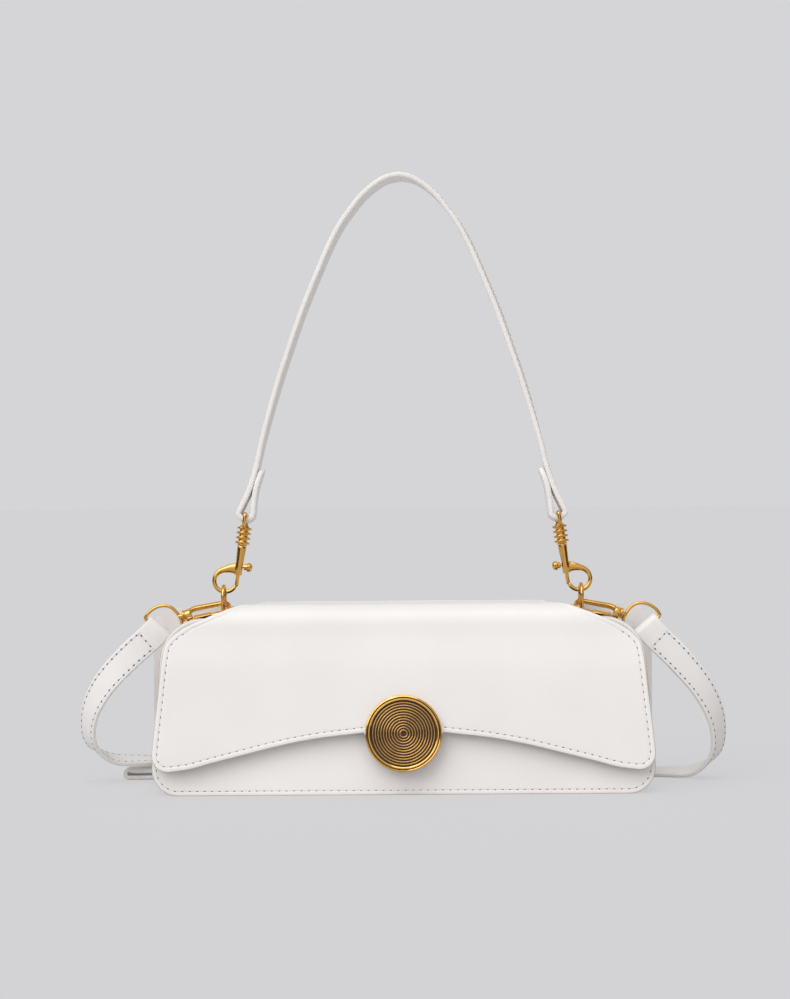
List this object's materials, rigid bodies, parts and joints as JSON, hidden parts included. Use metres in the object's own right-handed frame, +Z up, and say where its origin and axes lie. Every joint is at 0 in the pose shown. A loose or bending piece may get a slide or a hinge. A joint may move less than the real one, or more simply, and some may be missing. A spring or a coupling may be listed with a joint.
{
  "type": "flap shoulder bag",
  "caption": "Wide, low leather shoulder bag with a front flap, a round metal clasp plate, a short strap on bolt snaps and a long strap on swivel clasps.",
  "frame": {"origin": "middle of the base, on the surface that the bag stands on", "axes": "+X along the bag to its right, +Y to its back, +Z up"},
  "size_m": [0.3748, 0.0918, 0.3527],
  "materials": {
    "leather": "smooth off-white leather, soft sheen",
    "cloth": "plain woven lining",
    "board": "grey-brown fibre board",
    "gold": "polished warm gold plating",
    "steel": "plain nickelled steel"
  },
  "bodies": {
    "root": {"front_panel": "leather", "back_panel": "leather", "left_gusset": "leather", "right_gusset": "leather", "base_panel": "leather", "lining": "cloth", "inner_pocket": "cloth", "front_board": "board", "back_board": "board", "base_board": "board", "snap_socket": "steel", "snap_socket_washer": "steel", "left_ring_tab": "leather", "right_ring_tab": "leather", "crossbody_strap": "leather", "left_clasp_loop": "gold", "right_clasp_loop": "gold"},
    "flap": {"flap_leather": "leather", "flap_lining": "cloth", "clasp_disc": "gold", "clasp_washer": "steel", "snap_stud": "steel"},
    "strap": {"shoulder_strap": "leather", "left_swivel_eye": "gold", "right_swivel_eye": "gold"},
    "left_ring": {"left_d_ring": "gold"},
    "left_hook": {"left_hook_body": "gold"},
    "left_bolt": {"left_bolt": "gold"},
    "left_clasp": {"left_clasp_body": "gold", "left_gate_pin": "steel"},
    "left_gate": {"left_clasp_gate": "gold"},
    "right_ring": {"right_d_ring": "gold"},
    "right_hook": {"right_hook_body": "gold"},
    "right_bolt": {"right_bolt": "gold"},
    "right_clasp": {"right_clasp_body": "gold", "right_gate_pin": "steel"},
    "right_gate": {"right_clasp_gate": "gold"}
  },
  "joints": [
    {"name": "flap_open", "type": "hinge", "parent": "root", "child": "flap", "pos_m": [0, 0.02885, 0.10285], "axis": [-1, 0, 0], "range_deg": [0, 120]},
    {"name": "strap_swing", "type": "hinge", "parent": "root", "child": "strap", "pos_m": [0, 0.014, 0.1072], "axis": [-1, 0, 0], "range_deg": [0, 84]},
    {"name": "left_ring_tilt", "type": "hinge", "parent": "root", "child": "left_ring", "pos_m": [-0.102, 0.014, 0.0992], "axis": [0, 1, 0], "range_deg": [-5, 5]},
    {"name": "left_hook_swivel", "type": "hinge", "parent": "strap", "child": "left_hook", "pos_m": [-0.09161, 0.0166, 0.1369], "axis": [0.1392, 0.0863, 0.9865], "range_deg": [-10, 10]},
    {"name": "left_bolt_slide", "type": "slide", "parent": "left_hook", "child": "left_bolt", "axis": [0.1392, 0.0863, 0.9865], "range_m": [0, 0.0045], "stiffness_N_per_m": 150, "springref_m": -0.003},
    {"name": "left_clasp_swivel", "type": "hinge", "parent": "root", "child": "left_clasp", "pos_m": [-0.1225, 0.0073, 0.0976], "axis": [0.9816, 0, 0.1908], "range_deg": [-10, 10]},
    {"name": "left_gate_open", "type": "hinge", "parent": "left_clasp", "child": "left_gate", "pos_m": [-0.12004, 0.00361, 0.09545], "axis": [-0.1563, -0.5736, 0.8041], "range_deg": [0, 20], "stiffness_Nm_per_rad": 0.005, "springref_deg": -11.46},
    {"name": "right_ring_tilt", "type": "hinge", "parent": "root", "child": "right_ring", "pos_m": [0.102, 0.014, 0.0992], "axis": [0, 1, 0], "range_deg": [-5, 5]},
    {"name": "right_hook_swivel", "type": "hinge", "parent": "strap", "child": "right_hook", "pos_m": [0.09161, 0.0166, 0.1369], "axis": [-0.1392, 0.0863, 0.9865], "range_deg": [-10, 10]},
    {"name": "right_bolt_slide", "type": "slide", "parent": "right_hook", "child": "right_bolt", "axis": [-0.1392, 0.0863, 0.9865], "range_m": [0, 0.0045], "stiffness_N_per_m": 150, "springref_m": -0.003},
    {"name": "right_clasp_swivel", "type": "hinge", "parent": "root", "child": "right_clasp", "pos_m": [0.1225, 0.0073, 0.0976], "axis": [-0.9816, 0, 0.1908], "range_deg": [-10, 10]},
    {"name": "right_gate_open", "type": "hinge", "parent": "right_clasp", "child": "right_gate", "pos_m": [0.12004, 0.00361, 0.09545], "axis": [-0.1563, 0.5736, -0.8041], "range_deg": [0, 20], "stiffness_Nm_per_rad": 0.005, "springref_deg": -11.46}
  ],
  "couplings": [
    {"joint": "strap_swing", "follows": "flap_open", "ratio": 0.7}
  ]
}
